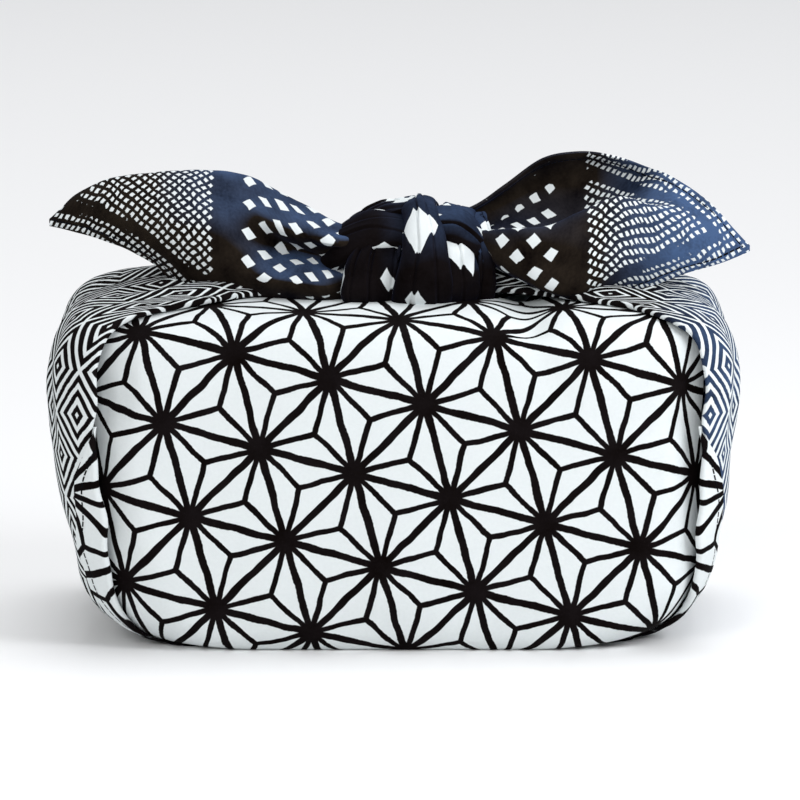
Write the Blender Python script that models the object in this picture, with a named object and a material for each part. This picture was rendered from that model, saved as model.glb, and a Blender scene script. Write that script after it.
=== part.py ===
"""Furoshiki wrap: one square of cotton cloth folded round a box-shaped bundle and tied on top.

The cloth is one closed solid. X runs along the bundle, with the view's right at +X. The front faces -Y and
Z is up. The origin is the middle of the flat underside. All lengths in the tables are in millimetres.
"""

from collections import namedtuple
from math import acos, cos, exp, pi, radians, sin

import bmesh
import bpy
from mathutils import Vector

MM = 0.001
BUNDLE_HEIGHT = 118.4
EAR_SHEET = 2.0
STEP_WIDTH = 0.7
END_SPANS = 18
ARC_SPANS = 8
FRONT_STATIONS = (0.0, 0.02, 0.06, 0.14, 0.26, 0.4, 0.52, 0.64, 0.76, 0.87, 0.94, 0.98, 1.0)

# The bundle from its rest face upwards and then inwards over the top. A row is one closed ring.
# up: height. long, deep: half sizes. corner: radius in plan. fold_left, fold_right: how far out the end
# cloths' edges lie. layer: how proud the end cloths stand. pocket: how far the panel turns in under them.
# gusset: width of the folded corner that lies on the end cloth. rise, ridge: how much the end cloths climb
# and pleat towards the knot.
Ring = namedtuple("Ring", "up long deep corner fold_left fold_right layer pocket gusset rise ridge")
BUNDLE = (
    Ring(0.0, 80.0, 56.0, 33.0, 64.0, 70.0, 0.1, 0.0, 0.0, 0.0, 0.0),
    Ring(1.5, 87.0, 58.5, 33.0, 78.0, 84.0, 0.4, 0.0, 0.0, 0.0, 0.0),
    Ring(5.0, 94.5, 61.0, 32.0, 87.0, 93.0, 1.0, 0.3, 3.0, 0.0, 0.0),
    Ring(12.0, 102.0, 62.5, 30.0, 93.5, 100.0, 1.7, 0.6, 8.0, 0.0, 0.0),
    Ring(24.0, 108.0, 63.5, 27.0, 97.0, 104.0, 2.2, 1.0, 12.0, 0.0, 0.0),
    Ring(42.0, 112.5, 64.0, 24.0, 99.5, 105.5, 2.4, 1.6, 14.0, 0.0, 0.0),
    Ring(62.0, 115.5, 64.0, 23.0, 102.0, 106.0, 2.4, 2.4, 9.0, 0.0, 0.0),
    Ring(80.0, 117.0, 64.0, 22.0, 102.5, 106.5, 2.4, 3.2, 0.0, 0.0, 0.0),
    Ring(95.0, 117.0, 63.0, 22.0, 102.0, 107.0, 2.4, 3.0, 0.0, 0.0, 0.2),
    Ring(106.0, 114.5, 60.0, 22.0, 100.0, 104.0, 2.4, 1.8, 0.0, 0.0, 0.4),
    Ring(112.5, 110.0, 55.0, 21.0, 94.0, 98.0, 2.4, 0.8, 0.0, 0.2, 0.8),
    Ring(115.8, 102.5, 47.0, 19.0, 83.0, 88.0, 2.4, 0.3, 0.0, 0.6, 1.2),
    Ring(117.2, 88.0, 36.0, 15.0, 68.0, 76.0, 2.6, 0.0, 0.0, 1.8, 2.2),
    Ring(118.0, 62.0, 24.0, 11.0, 50.0, 55.0, 3.0, 0.0, 0.0, 4.5, 3.4),
    Ring(118.4, 32.0, 13.0, 6.0, 24.0, 26.0, 3.4, 0.0, 0.0, 9.0, 4.0),
)
PANEL_CROWN = 1.6
TUCK_SHARE = 0.1
GUSSET_PROUD = 1.0
PLEAT_PLACES = (0.14, 0.36, 0.58, 0.83)
PLEAT_WIDTH = 0.07
DIMPLE_X = 45.0
DIMPLE_WIDTH = 9.0
DIMPLE_DEPTH = 3.0
DIMPLE_UP = 114.5
DIMPLE_TALL = 3.0

# The knot's straps: flattened rolls of gathered cloth over a core.
# x, y, z: the middle line. wide_x, wide_y, wide_z: the half width. thick: the half thickness.
Roll = namedtuple("Roll", "x y z wide_x wide_y wide_z thick")
STRAPS = {
    "front_strap": (
        Roll(9.5, -22.0, 110.0, 11.5, 0.0, 0.0, 4.5),
        Roll(10.0, -28.0, 117.0, 11.0, 0.0, 0.0, 5.0),
        Roll(10.5, -30.0, 127.0, 9.5, 0.0, 0.0, 5.0),
        Roll(11.0, -28.0, 137.0, 8.0, 0.0, 0.5, 4.8),
        Roll(10.0, -20.0, 145.5, 6.5, 0.0, 0.8, 4.2),
        Roll(9.0, -9.0, 148.5, 6.0, 0.0, 0.8, 3.6),
        Roll(8.5, 4.0, 148.0, 6.5, 0.0, 0.0, 3.6),
        Roll(8.5, 17.0, 142.0, 9.0, 0.0, 0.0, 4.2),
        Roll(9.0, 26.0, 129.0, 12.0, 0.0, 0.0, 4.8),
        Roll(8.0, 22.0, 112.0, 13.0, 0.0, 0.0, 4.5),
    ),
    "right_roll": (
        Roll(5.0, -15.0, 140.0, 0.0, -6.0, -4.5, 3.6),
        Roll(14.0, -17.5, 143.5, 0.5, -7.5, -4.6, 4.2),
        Roll(22.0, -17.0, 143.0, 0.0, -8.0, -4.4, 4.4),
        Roll(28.0, -14.0, 138.0, -1.0, -8.0, -3.5, 4.2),
        Roll(31.0, -9.0, 129.0, -1.0, -8.5, -1.0, 3.8),
        Roll(31.0, -6.0, 119.0, -1.0, -9.0, 0.0, 3.6),
        Roll(29.0, -4.0, 110.0, -1.0, -9.0, 0.0, 3.4),
    ),
    "right_front": (
        Roll(18.0, -18.0, 141.0, 7.0, 2.5, 0.0, 3.8),
        Roll(20.5, -23.5, 133.0, 8.0, 3.0, 0.0, 4.4),
        Roll(22.0, -24.5, 123.0, 8.5, 3.5, 0.0, 4.6),
        Roll(21.5, -19.0, 111.0, 8.5, 3.5, 0.0, 4.2),
    ),
    "left_lobe": (
        Roll(-25.0, -8.0, 129.0, 0.0, -6.0, -5.0, 3.6),
        Roll(-17.0, -12.0, 136.0, 0.0, -7.0, -5.5, 4.2),
        Roll(-9.0, -13.5, 140.5, 0.0, -7.5, -5.5, 4.6),
        Roll(0.0, -14.0, 141.0, 0.0, -7.5, -5.5, 4.4),
        Roll(8.0, -15.0, 139.0, 0.0, -6.5, -5.0, 4.0),
    ),
    "left_front": (
        Roll(-4.0, -15.0, 138.0, 9.0, -1.0, 1.5, 4.0),
        Roll(-7.0, -21.5, 130.0, 9.8, -1.0, 1.5, 4.8),
        Roll(-8.0, -24.0, 121.0, 10.3, 0.0, 1.0, 4.8),
        Roll(-6.5, -19.0, 110.0, 10.3, 0.0, 0.0, 4.2),
    ),
    "top_gathers": (
        Roll(-13.0, 0.0, 138.5, 1.5, -9.0, 1.5, 3.4),
        Roll(-6.0, -1.5, 144.5, 2.5, -9.0, 1.0, 3.6),
        Roll(2.0, -3.0, 147.5, 3.0, -9.0, 0.5, 3.8),
        Roll(10.0, -3.5, 147.0, 2.5, -9.0, 0.5, 3.6),
    ),
    "right_loop": (
        Roll(30.5, -17.0, 112.0, 3.2, 1.0, 0.0, 2.2),
        Roll(32.0, -20.5, 122.0, 3.4, 1.0, 0.0, 2.4),
        Roll(32.0, -19.0, 133.0, 3.4, 1.0, 0.0, 2.4),
        Roll(31.0, -12.0, 141.0, 3.2, 0.5, 0.5, 2.4),
        Roll(30.0, -2.0, 143.5, 3.2, 0.0, 0.5, 2.4),
        Roll(29.5, 8.0, 141.0, 3.4, 0.0, 0.0, 2.4),
        Roll(29.5, 16.0, 132.0, 3.6, -0.5, 0.0, 2.4),
        Roll(29.0, 19.0, 121.0, 3.6, -0.5, 0.0, 2.4),
        Roll(28.0, 15.0, 112.0, 3.6, -0.5, 0.0, 2.2),
    ),
    "left_back": (
        Roll(-6.0, 2.0, 143.0, 9.0, 1.0, 1.0, 4.0),
        Roll(-7.0, 15.0, 140.0, 9.5, 1.0, 1.0, 4.6),
        Roll(-8.0, 22.5, 129.0, 10.5, 1.0, 0.0, 4.8),
        Roll(-7.0, 19.0, 111.0, 10.5, 1.0, 0.0, 4.4),
    ),
    "right_back": (
        Roll(20.5, -9.0, 141.5, 8.0, -1.0, 0.0, 3.8),
        Roll(21.0, 0.0, 144.0, 8.0, -1.0, 0.0, 4.0),
        Roll(22.0, 10.0, 142.0, 8.0, -1.5, 0.0, 4.2),
        Roll(22.0, 19.5, 130.0, 8.5, -2.0, 0.0, 4.6),
        Roll(21.0, 16.0, 111.0, 8.5, -2.0, 0.0, 4.4),
    ),
}
STRAP_POINTS = 18
STRAP_SPANS = 2
STRAP_PLEATS = 4
STRAP_PLEAT_DEPTH = 0.7
CORE_CENTRE = Vector((8.0, 0.0, 122.0))
CORE_RADII = Vector((23.0, 20.0, 19.5))
CORE_SEGMENTS = (20, 12)

# The ears, from inside the knot outwards to the tip. A row is one section of the cloth, edge to edge.
# The left ear is folded over its top. A pair is (y, z).
Cut = namedtuple("Cut", "out hem belly waist brow top back back_hem")
LEFT_EAR = (
    Cut(6.0, (-11, 122), (-14, 127), (-12, 132), (-11, 137), (-4, 140), (2, 135), (2, 129)),
    Cut(19.0, (-17, 117), (-23, 123), (-12, 131), (-19, 137.5), (-7, 142), (2, 136), (2, 127)),
    Cut(33.0, (-19, 115), (-27, 125), (-10, 133), (-19.5, 141), (-2, 149), (5, 139), (4, 124)),
    Cut(44.0, (-18, 114.5), (-26, 126), (-14, 136), (-16.5, 145.5), (-1, 155.5), (6, 141), (5, 122.5)),
    Cut(55.0, (-16, 115), (-24, 128), (-21, 141), (-11, 152), (0, 159.5), (6, 143), (5, 122.5)),
    Cut(69.0, (-14, 117), (-20, 129), (-20, 142), (-12, 153.5), (-1, 161), (5, 145), (5, 125.5)),
    Cut(86.0, (-12, 129.5), (-16, 137), (-16, 146), (-10, 155), (-2, 160), (2.5, 149), (3, 135)),
    Cut(100.0, (-9, 136), (-12, 142), (-12, 148), (-8, 154), (-3, 157.5), (0, 150), (0.5, 140.5)),
    Cut(112.0, (-7, 139.5), (-9, 143), (-9, 146), (-7, 149.5), (-4.5, 151.5), (-3, 148), (-3, 143.5)),
    Cut(120.0, (-6, 141.5), (-7, 142.5), (-7.2, 143.6), (-6.5, 144.6), (-5, 145.2), (-4, 144.2), (-3.8, 143)),
)
# The right ear is a cup whose back curls over its pocket. A pair is (y, z).
Fold = namedtuple("Fold", "out hem belly crest pocket back shoulder top")
RIGHT_EAR = (
    Fold(14.0, (-6, 127), (-11, 131), (-9, 138), (-4, 135), (2, 134), (6, 139), (4, 144)),
    Fold(28.0, (-8, 131), (-15, 134), (-15, 141), (-7, 138), (3, 137), (8, 142), (5, 147)),
    Fold(40.0, (-9, 128), (-23, 129), (-21, 140), (-9, 140), (4, 140), (12, 147), (8, 154)),
    Fold(53.0, (-8, 121), (-29, 122), (-24, 142), (-9, 138), (6, 142), (15, 153), (10, 163.5)),
    Fold(65.0, (-12, 115.5), (-29, 122), (-19, 147), (-6, 140), (8, 144), (16, 156), (10, 165.5)),
    Fold(80.0, (-18, 118.5), (-25, 132), (-14, 153), (-3, 147), (7, 148), (13, 156), (9, 163)),
    Fold(96.0, (-13, 123.5), (-18, 134), (-13, 146), (-7, 151.5), (-2, 153.5), (2.5, 155.5), (5, 158.5)),
    Fold(109.0, (-9, 127.5), (-11.5, 132.5), (-10.5, 138.5), (-8, 143), (-5.5, 146), (-3.5, 148.5), (-2, 151)),
    Fold(118.0, (-6, 130), (-7.2, 132), (-7.4, 134.2), (-7, 136.3), (-6.2, 138.2), (-5.3, 140), (-4.4, 141.6)),
    Fold(125.0, (-5, 131), (-5.5, 132), (-5.6, 133), (-5.4, 134), (-5.1, 135), (-4.9, 136), (-4.7, 137)),
)
EAR_SPANS = 2

SHARP_TURN = radians(40)
COTTON_COLOUR = (0.62, 0.62, 0.64, 1.0)
COTTON_ROUGHNESS = 0.85


def clear_scene():
    """Removes every object, so that the model starts from nothing."""
    for old in list(bpy.data.objects):
        bpy.data.objects.remove(old, do_unlink=True)


def smooth(points, spans):
    """Points on one even curve through all the given ones, with this many spans in each gap."""
    ends = [points[0] * 2 - points[1], *points, points[-1] * 2 - points[-2]]
    found = []
    for before, start, stop, after in zip(ends, ends[1:], ends[2:], ends[3:]):
        for step in range(spans):
            t = step / spans
            found.append(
                0.5
                * (
                    2 * start
                    + (stop - before) * t
                    + (2 * before - 5 * start + 4 * stop - after) * t * t
                    + (3 * start - before - 3 * stop + after) * t**3
                )
            )
    found.append(points[-1].copy())
    return found


def smooth_grid(rows, along, across):
    """The rows made finer across and then along."""
    wide = [smooth(row, across) for row in rows]
    columns = [smooth(list(column), along) for column in zip(*wide)]
    return [list(row) for row in zip(*columns)]


def spread(path, count, start):
    """Evenly spaced points and normals on a path of such pairs, from a distance past its first point."""
    lengths = [(b[0] - a[0]).length for a, b in zip(path, path[1:])]
    total = sum(lengths) - 2 * start
    found = []
    for step in range(count + 1):
        left = start + total * step / count
        index = 0
        while index < len(lengths) - 1 and left > lengths[index]:
            left -= lengths[index]
            index += 1
        share = left / lengths[index]
        point = path[index][0].lerp(path[index + 1][0], share)
        normal = path[index][1].lerp(path[index + 1][1], share).normalized()
        found.append((point, normal))
    return found


def new_object(name, bm):
    """An object in the scene from the mesh under construction, in metres."""
    bmesh.ops.scale(bm, vec=(MM, MM, MM), verts=bm.verts)
    bmesh.ops.recalc_face_normals(bm, faces=bm.faces)
    mesh = bpy.data.meshes.new(name)
    bm.to_mesh(mesh)
    bm.free()
    obj = bpy.data.objects.new(name, mesh)
    bpy.context.collection.objects.link(obj)
    return obj


def skin(rings):
    """A closed skin over rings of equally many points, with flat ends."""
    bm = bmesh.new()
    made = [[bm.verts.new(point) for point in ring] for ring in rings]
    for low, high in zip(made, made[1:]):
        for index in range(len(low)):
            after = (index + 1) % len(low)
            bm.faces.new((low[index], low[after], high[after], high[index]))
    bm.faces.new(made[0])
    middle = bm.verts.new(sum((v.co for v in made[-1]), Vector()) / len(made[-1]))
    for index in range(len(made[-1])):
        bm.faces.new((made[-1][index], made[-1][(index + 1) % len(made[-1])], middle))
    return bm


def panel_point(ring, x):
    """A point and normal on the front of a ring, at x, where its corner may already have begun."""
    turn_x = ring.long - ring.corner
    if abs(x) <= turn_x:
        return Vector((x, -ring.deep, 0.0)), Vector((0.0, -1.0, 0.0))
    angle = acos(min(1.0, (abs(x) - turn_x) / ring.corner))
    normal = Vector((cos(angle) * (1 if x > 0 else -1), -sin(angle), 0.0))
    centre = Vector((turn_x * (1 if x > 0 else -1), ring.corner - ring.deep, 0.0))
    return centre + normal * ring.corner, normal


def end_path(ring, fold):
    """Pairs of point and normal round the +X end of a ring, from its front fold to its back fold."""
    turn_x = ring.long - ring.corner
    turn_y = ring.deep - ring.corner
    start = pi / 2 if fold <= turn_x else acos((fold - turn_x) / ring.corner)
    path = []
    if fold < turn_x:
        path.append((Vector((fold, -ring.deep, 0.0)), Vector((0.0, -1.0, 0.0))))
    for side in (-1, 1):
        for step in range(ARC_SPANS + 1):
            share = step / ARC_SPANS
            angle = side * start * ((1 - share) if side < 0 else share)
            normal = Vector((cos(angle), sin(angle), 0.0))
            path.append((Vector((turn_x, side * turn_y, 0.0)) + normal * ring.corner, normal))
    if fold < turn_x:
        path.append((Vector((fold, ring.deep, 0.0)), Vector((0.0, 1.0, 0.0))))
    return path


def profile_lean(index):
    """How far the surface faces outwards and upwards at a ring: the two parts of a unit length."""
    low = BUNDLE[max(index - 1, 0)]
    high = BUNDLE[min(index + 1, len(BUNDLE) - 1)]
    lean = Vector((high.up - low.up, low.long - high.long)).normalized()
    return lean.x, lean.y


def pleats(share):
    """The ridges across an end cloth, at a share of the way from its front edge to its back edge."""
    return sum(exp(-(((share - place) / PLEAT_WIDTH) ** 2)) for place in PLEAT_PLACES)


def panel_points(ring, lean):
    """The front of a ring between the edges of the two end cloths, left to right."""
    found = []
    for share in FRONT_STATIONS:
        x = -ring.fold_left + share * (ring.fold_left + ring.fold_right)
        point, normal = panel_point(ring, x)
        crown = PANEL_CROWN * 4 * share * (1 - share) * sin(pi * ring.up / BUNDLE_HEIGHT)
        edge = min(share, 1 - share)
        tuck = ring.pocket * max(0.0, 1 - edge / TUCK_SHARE)
        dimple = DIMPLE_DEPTH * exp(-(((x - DIMPLE_X) / DIMPLE_WIDTH) ** 2))
        dimple *= exp(-(((ring.up - DIMPLE_UP) / DIMPLE_TALL) ** 2))
        proud = crown - tuck - dimple
        point = point + normal * proud * lean[0]
        point.z = ring.up + proud * lean[1]
        found.append(point)
    return found


def end_points(ring, lean, fold, side):
    """One end cloth of a ring, front to back. It stands proud of the panel and climbs to the knot."""
    path = end_path(ring, fold)
    length = sum((b[0] - a[0]).length for a, b in zip(path, path[1:]))
    found = []
    for number, (point, normal) in enumerate(spread(path, END_SPANS, STEP_WIDTH)):
        share = number / END_SPANS
        arch = sin(pi * share)
        from_edge = min(share, 1 - share) * length
        gusset = GUSSET_PROUD if from_edge < ring.gusset else 0.0
        proud = ring.layer + gusset + ring.ridge * pleats(share) * arch
        point = point + normal * proud * lean[0]
        point.z = ring.up + proud * lean[1] + ring.rise * arch
        point.x *= side
        found.append(point)
    return found


def bundle():
    """The wrapped bundle with its raised end cloths, one ring of points for each row of the table."""
    rings = []
    for index, ring in enumerate(BUNDLE):
        lean = profile_lean(index)
        front = panel_points(ring, lean)
        back = [Vector((p.x, -p.y, p.z)) for p in reversed(front)]
        right = end_points(ring, lean, ring.fold_right, 1)
        left = end_points(ring, lean, ring.fold_left, -1)
        rings.append(front + right + back + list(reversed(left)))
    for point in rings[0]:
        point.z = 0.0
    return new_object("cloth", skin(rings))


def strap(name, table):
    """One strap of the knot: a pleated flat roll round its middle line."""
    rows = [[Vector(row[:3]), Vector(row[3:6]), Vector((row.thick, 0.0, 0.0))] for row in table]
    fine = smooth_grid(rows, STRAP_SPANS, 1)
    rings = []
    for index, (middle, width, thick) in enumerate(fine):
        ahead = (fine[min(index + 1, len(fine) - 1)][0] - fine[max(index - 1, 0)][0]).normalized()
        width = width - ahead * width.dot(ahead)
        outward = ahead.cross(width).normalized()
        ring = []
        for number in range(STRAP_POINTS):
            around = 2 * pi * number / STRAP_POINTS
            pleat = STRAP_PLEAT_DEPTH * cos(pi * STRAP_PLEATS * cos(around))
            ring.append(middle + width * cos(around) + outward * sin(around) * (thick.x + pleat))
        rings.append(ring)
    return new_object(name, skin(rings))


def core():
    """The gathered cloth in the middle of the knot, which its straps cross over."""
    bm = bmesh.new()
    bmesh.ops.create_uvsphere(bm, u_segments=CORE_SEGMENTS[0], v_segments=CORE_SEGMENTS[1], radius=1.0)
    bmesh.ops.scale(bm, vec=CORE_RADII, verts=bm.verts)
    bmesh.ops.translate(bm, vec=CORE_CENTRE, verts=bm.verts)
    return new_object("core", bm)


def ear(name, cuts, side):
    """One free corner of the cloth, a sheet through its sections."""
    rows = [[Vector((side * cut.out, y, z)) for y, z in cut[1:]] for cut in cuts]
    grid = smooth_grid(rows, EAR_SPANS, EAR_SPANS)
    bm = bmesh.new()
    made = [[bm.verts.new(point) for point in row] for row in grid]
    for row, following in zip(made, made[1:]):
        for index in range(len(row) - 1):
            bm.faces.new((row[index], row[index + 1], following[index + 1], following[index]))
    obj = new_object(name, bm)
    wall = obj.modifiers.new("thickness", "SOLIDIFY")
    wall.thickness = EAR_SHEET * MM
    wall.offset = 0.0
    wall.use_even_offset = False
    return obj


def cotton(name):
    """The cloth's plain finish."""
    material = bpy.data.materials.new(name)
    material.use_nodes = True
    shader = material.node_tree.nodes["Principled BSDF"]
    shader.inputs["Base Color"].default_value = COTTON_COLOUR
    shader.inputs["Roughness"].default_value = COTTON_ROUGHNESS
    shader.inputs["Metallic"].default_value = 0.0
    return material


def islands(bm):
    """The mesh's separate skins, each a set of faces."""
    left = set(bm.faces)
    found = []
    while left:
        first = left.pop()
        skin_faces = {first}
        border = [first]
        while border:
            face = border.pop()
            for edge in face.edges:
                for near in edge.link_faces:
                    if near in left:
                        left.remove(near)
                        skin_faces.add(near)
                        border.append(near)
        found.append(skin_faces)
    return found


def fuse(body, others):
    """Joins the other shapes to the body as one solid, and closes the pockets left inside the folds."""
    for other in others:
        union = body.modifiers.new(other.name, "BOOLEAN")
        union.operation = "UNION"
        union.solver = "EXACT"
        union.use_self = True
        union.object = other
    whole = body.evaluated_get(bpy.context.evaluated_depsgraph_get())
    bm = bmesh.new()
    bm.from_mesh(whole.data)
    skins = sorted(islands(bm), key=len)
    inner = [face for found in skins[:-1] for face in found]
    bmesh.ops.delete(bm, geom=inner, context="FACES")
    body.modifiers.clear()
    bm.to_mesh(body.data)
    bm.free()
    for other in others:
        bpy.data.objects.remove(other, do_unlink=True)


def main():
    """Builds the wrap."""
    clear_scene()
    cloth = bundle()
    shapes = [core()]
    shapes += [strap(name, table) for name, table in STRAPS.items()]
    shapes += [ear("left_ear", LEFT_EAR, -1), ear("right_ear", RIGHT_EAR, 1)]
    fuse(cloth, shapes)
    cloth.data.shade_smooth()
    cloth.data.set_sharp_from_angle(angle=SHARP_TURN)
    cloth.data.materials.append(cotton("printed_cotton"))


main()
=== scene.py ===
"""The looks of a furoshiki wrap: a square of printed cotton tied round a box-shaped bundle.

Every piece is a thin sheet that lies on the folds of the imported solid. Tables are in millimetres, in the
frame of the solid: X along the bundle, the front at -Y, Z up from the underside.
"""

import logging
from dataclasses import dataclass
from enum import Enum
from math import cos, pi, radians, sin, sqrt

import bpy
import numpy as np
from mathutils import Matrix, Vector


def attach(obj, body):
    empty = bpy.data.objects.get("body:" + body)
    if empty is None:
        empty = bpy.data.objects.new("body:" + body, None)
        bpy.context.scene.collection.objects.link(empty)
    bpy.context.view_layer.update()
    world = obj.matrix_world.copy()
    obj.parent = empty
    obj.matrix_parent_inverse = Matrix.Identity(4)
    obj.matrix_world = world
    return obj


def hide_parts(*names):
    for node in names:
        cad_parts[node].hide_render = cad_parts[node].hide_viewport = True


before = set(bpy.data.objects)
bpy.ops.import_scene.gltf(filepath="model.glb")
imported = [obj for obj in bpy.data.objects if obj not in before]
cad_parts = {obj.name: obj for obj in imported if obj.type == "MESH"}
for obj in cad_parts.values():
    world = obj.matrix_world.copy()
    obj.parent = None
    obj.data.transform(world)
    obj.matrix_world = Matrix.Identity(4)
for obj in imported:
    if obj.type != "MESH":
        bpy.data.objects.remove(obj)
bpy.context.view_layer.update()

MM = 0.001
BODY = "root"
NODE = "cloth"
CLOTH_UV = "Cloth"
HEM_FIELD = "hem"
NO_HEM = 99.0
COTTON = 0.5
HEM_WIDTH = 4.0
SHARP_TURN = radians(50)
KNOT_MIDDLE = (8.0, 0.0, 122.0)
Array = np.ndarray


class Print(Enum):
    """Which part of the cloth's print a piece carries."""

    FIELD = "hemp leaf"
    BORDER = "nested diamonds"
    CORNER = "small diamonds"
    KNOT = "large diamonds"


class Side(Enum):
    """The two ends of the bundle."""

    LEFT = -1
    RIGHT = 1


def curve_at(table: Array, at: Array) -> Array:
    """Reads a table between its rows, on one even curve through them.

    Args:
        table: the rows.
        at: the row numbers wanted, which need not be whole.

    Returns:
        One row for each number.
    """
    table = np.asarray(table, float)
    last = len(table) - 1
    at = np.clip(np.asarray(at, float), 0, last)
    low = np.minimum(np.floor(at).astype(int), last - 1)
    t = (at - low).reshape(at.shape + (1,) * (table.ndim - 1))
    ends = np.concatenate([2 * table[:1] - table[1:2], table, 2 * table[-1:] - table[-2:-1]])
    before, start, stop, after = (ends[low + step] for step in range(4))
    bend = 2 * before - 5 * start + 4 * stop - after
    twist = 3 * start - before - 3 * stop + after
    return 0.5 * (2 * start + (stop - before) * t + bend * t**2 + twist * t**3)


def lengths_along(points: Array) -> Array:
    """The distance walked along each row of points, from its first one."""
    steps = np.linalg.norm(np.diff(points, axis=-2), axis=-1)
    return np.concatenate([np.zeros(steps.shape[:-1] + (1,)), np.cumsum(steps, axis=-1)], axis=-1)


def clustered(count: int, pull: float) -> Array:
    """Numbers from 0 to 1, closer together at both ends the nearer pull is to 1."""
    t = np.linspace(0, 1, count)
    return t - pull * np.sin(2 * pi * t) / (2 * pi)


def ripple(points: Array, wave: float, seed: int) -> Array:
    """A soft uneven swell over the points, about -1 to 1.

    Args:
        points: where it is read.
        wave: the usual distance from crest to crest, in the points' unit.
        seed: picks one swell among many.

    Returns:
        One number for each point.
    """
    draw = np.random.default_rng(seed)
    waves = draw.normal(size=(7, 3))
    waves /= np.linalg.norm(waves, axis=1, keepdims=True)
    waves *= (2 * pi / wave) * draw.uniform(0.6, 1.4, (7, 1))
    turns = points @ waves.T + draw.uniform(0, 2 * pi, 7)
    return np.sin(turns).sum(axis=-1) / sqrt(7)


def swell(points: Array, waves: tuple[tuple[float, float], ...], seed: int) -> Array:
    """Several ripples added up.

    Args:
        points: where they are read.
        waves: the height of each and its usual distance from crest to crest.
        seed: picks the first one.

    Returns:
        One number for each point.
    """
    return sum(height * ripple(points, wave, seed + number) for number, (height, wave) in enumerate(waves))


def normals_of(grid: Array) -> Array:
    """The unit normals of a grid of points."""
    along = np.gradient(grid, axis=0)
    across = np.gradient(grid, axis=1)
    normal = np.cross(across, along)
    size = np.linalg.norm(normal, axis=-1, keepdims=True)
    return normal / np.maximum(size, 1e-9)


@dataclass
class Sheet:
    """One thin sheet of the cloth, from a grid of points.

    Args:
        name: the piece's name.
        grid: rows and columns of points, in millimetres, whose normals face outwards.
        cloth: for each point, its place on the flat cloth, in millimetres.
        flat: the width and length of this part of the cloth when flat, in metres; not used.
        held: how the cloth is held; not used.
        hem: for each point, its distance from the hemmed edge, in millimetres.
        ring: whether the last column joins the first.
        outside: how far the cotton lies outside the grid: -1 is all inside and 0 half and half.
    """

    name: str
    grid: Array
    cloth: Array
    flat: tuple[float, float]
    held: str
    hem: Array | None = None
    ring: bool = False
    outside: float = -1.0

    def faces(self) -> Array:
        """The corner numbers of every face, one row for each."""
        rows, columns = self.grid.shape[:2]
        spans = columns if self.ring else columns - 1
        row, column = np.meshgrid(np.arange(rows - 1), np.arange(spans), indexing="ij")
        after = (column + 1) % columns
        corners = (row * columns + column, row * columns + after, (row + 1) * columns + after)
        return np.stack([*corners, (row + 1) * columns + column], axis=-1).reshape(-1, 4)

    def cloth_corners(self) -> Array:
        """The place on the flat cloth of every face's corners, in metres."""
        rows, columns = self.cloth.shape[:2]
        row, column = np.meshgrid(np.arange(rows - 1), np.arange(columns - 1), indexing="ij")
        steps = ((0, 0), (0, 1), (1, 1), (1, 0))
        places = [self.cloth[row + down, column + over] for down, over in steps]
        return np.stack(places, axis=2).reshape(-1, 2) * MM

    def build(self) -> bpy.types.Object:
        """Makes the sheet's mesh, gives it its thickness and lays it on its solid.

        Returns:
            The new piece.
        """
        mesh = bpy.data.meshes.new(self.name)
        points = self.grid.reshape(-1, 3) * MM
        mesh.from_pydata(points.tolist(), [], self.faces().tolist())
        mesh.uv_layers.new(name=CLOTH_UV).data.foreach_set("uv", self.cloth_corners().ravel())
        hem = np.full(len(points), NO_HEM) if self.hem is None else self.hem.ravel()
        mesh.attributes.new(HEM_FIELD, "FLOAT", "POINT").data.foreach_set("value", hem)
        piece = bpy.data.objects.new(self.name, mesh)
        bpy.context.collection.objects.link(piece)
        self.thicken(piece, hem)
        mesh.shade_smooth()
        mesh.set_sharp_from_angle(angle=SHARP_TURN)
        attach(piece, BODY)
        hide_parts(NODE)
        logging.info("%s: %d faces", self.name, len(mesh.polygons))
        return piece

    def thicken(self, piece: bpy.types.Object, hem: Array) -> None:
        """Gives the sheet the cotton's thickness, twice that in its hem."""
        group = piece.vertex_groups.new(name="layers")
        group.add(list(range(len(hem))), 0.5, "REPLACE")
        group.add(np.flatnonzero(hem < HEM_WIDTH).tolist(), 1.0, "REPLACE")
        wall = piece.modifiers.new("cotton", "SOLIDIFY")
        wall.thickness = 2 * COTTON * MM
        wall.offset = self.outside
        wall.vertex_group = group.name
        bpy.ops.object.select_all(action="DESELECT")
        piece.select_set(True)
        bpy.context.view_layer.objects.active = piece
        bpy.ops.object.modifier_apply(modifier=wall.name)


def column(number: int) -> property:
    """One column of a table of rings, kept as a column."""
    return property(lambda rings: rings.table[:, number : number + 1])


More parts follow.
